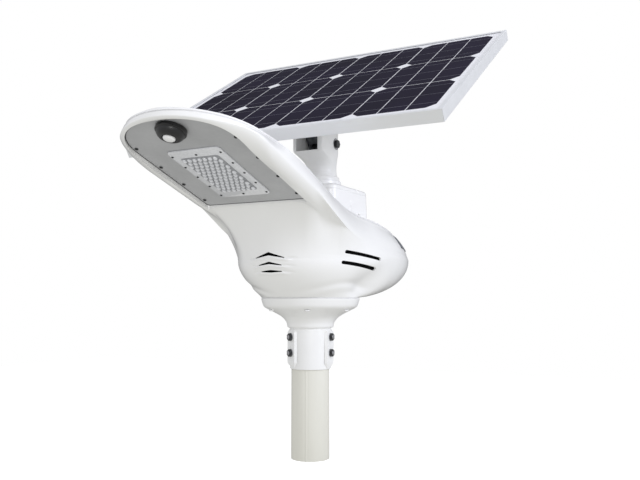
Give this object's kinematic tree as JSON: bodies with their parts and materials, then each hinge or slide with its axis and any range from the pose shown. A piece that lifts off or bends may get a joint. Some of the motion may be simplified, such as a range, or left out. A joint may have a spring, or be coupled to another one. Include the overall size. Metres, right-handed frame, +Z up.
{
  "type": "solar street lamp",
  "caption": "Pole-top solar street lamp: a glossy white hooded light head with a clamp collar, and a tilting framed solar panel on a swivel mast above it.",
  "frame": {"origin": "centre of the pole's lower cut, on the pole's axis", "axes": "+Z up along the pole's axis; -Y the way the hood and its light point; +X to the side that shows two vent slots in front view"},
  "size_m": [0.674, 0.81, 0.8949],
  "materials": {
    "pole_coat": "satin warm grey coating",
    "white_coat": "semi-gloss white powder coat",
    "white_shell": "glossy white moulding",
    "grey_hatch": "fine textured dark grey",
    "rubber": "matte",
    "plate_aluminium": "bead-blasted mid grey",
    "board_white": "white solder mask",
    "clear_lens": "clear moulded optics over white emitters",
    "sensor_black": "semi-gloss black",
    "sensor_window": "milky white",
    "steel": "zinc-plated",
    "dark_steel": "dark zinc",
    "galvanised": "hot-dip galvanised, dark",
    "battery_blue": "heat-shrink film",
    "electronics_green": "potted board",
    "frame_aluminium": "clear-anodised, satin",
    "solar_glass": "tempered glass over dark monocrystalline cells",
    "box_black": "moulded",
    "screw_white": "white painted head"
  },
  "bodies": {
    "pole": {"pole_stub": "pole_coat"},
    "head": {"pole_collar": "white_coat", "collar_set_screw_1": "dark_steel", "collar_set_screw_2": "dark_steel", "collar_set_screw_3": "dark_steel", "collar_set_screw_4": "dark_steel", "collar_set_screw_5": "dark_steel", "collar_set_screw_6": "dark_steel", "flange_screw_1": "screw_white", "flange_screw_2": "screw_white", "flange_screw_3": "screw_white", "flange_screw_4": "screw_white", "flange_screw_5": "screw_white", "flange_screw_6": "screw_white", "neck_gasket": "rubber", "lower_shell": "white_shell", "back_cover": "white_shell", "cover_gasket": "rubber", "cover_screw_1": "steel", "cover_screw_2": "steel", "cover_screw_3": "steel", "cover_screw_4": "steel", "cover_screw_5": "steel", "cover_screw_6": "steel", "rear_hatch": "grey_hatch", "led_plate": "plate_aluminium", "plate_screw_1": "steel", "plate_screw_2": "steel", "plate_screw_3": "steel", "plate_screw_4": "steel", "plate_screw_5": "steel", "plate_screw_6": "steel", "plate_screw_7": "steel", "plate_screw_8": "steel", "led_board": "board_white", "lens_cover": "clear_lens", "sensor_body": "sensor_black", "sensor_lens": "sensor_window", "battery_tray": "steel", "battery_pack": "battery_blue", "charge_controller": "electronics_green", "mast_pedestal": "white_shell"},
    "mast": {"mast_post": "white_coat", "mast_retaining_ring": "steel", "tilt_bolt": "dark_steel", "tilt_nut": "dark_steel"},
    "panel": {"frame_rail_front": "frame_aluminium", "frame_rail_rear": "frame_aluminium", "frame_rail_left": "frame_aluminium", "frame_rail_right": "frame_aluminium", "panel_laminate": "solar_glass", "cross_beam_left": "frame_aluminium", "cross_beam_right": "frame_aluminium", "tilt_bracket": "galvanised", "bracket_bolt_1": "steel", "bracket_bolt_2": "steel", "bracket_bolt_3": "steel", "bracket_bolt_4": "steel", "junction_box": "box_black"}
  },
  "joints": [
    {"name": "head_turn", "type": "hinge", "parent": "pole", "child": "head", "pos_m": [0, 0, 0.2], "axis": [0, 0, 1], "continuous": true},
    {"name": "mast_swivel", "type": "hinge", "parent": "head", "child": "mast", "pos_m": [0, 0.0485, 0.55], "axis": [0, 0, 1], "range_deg": [-30, 30]},
    {"name": "panel_tilt", "type": "hinge", "parent": "mast", "child": "panel", "pos_m": [0, 0.0485, 0.632], "axis": [1, 0, 0], "range_deg": [-30, 12]}
  ]
}
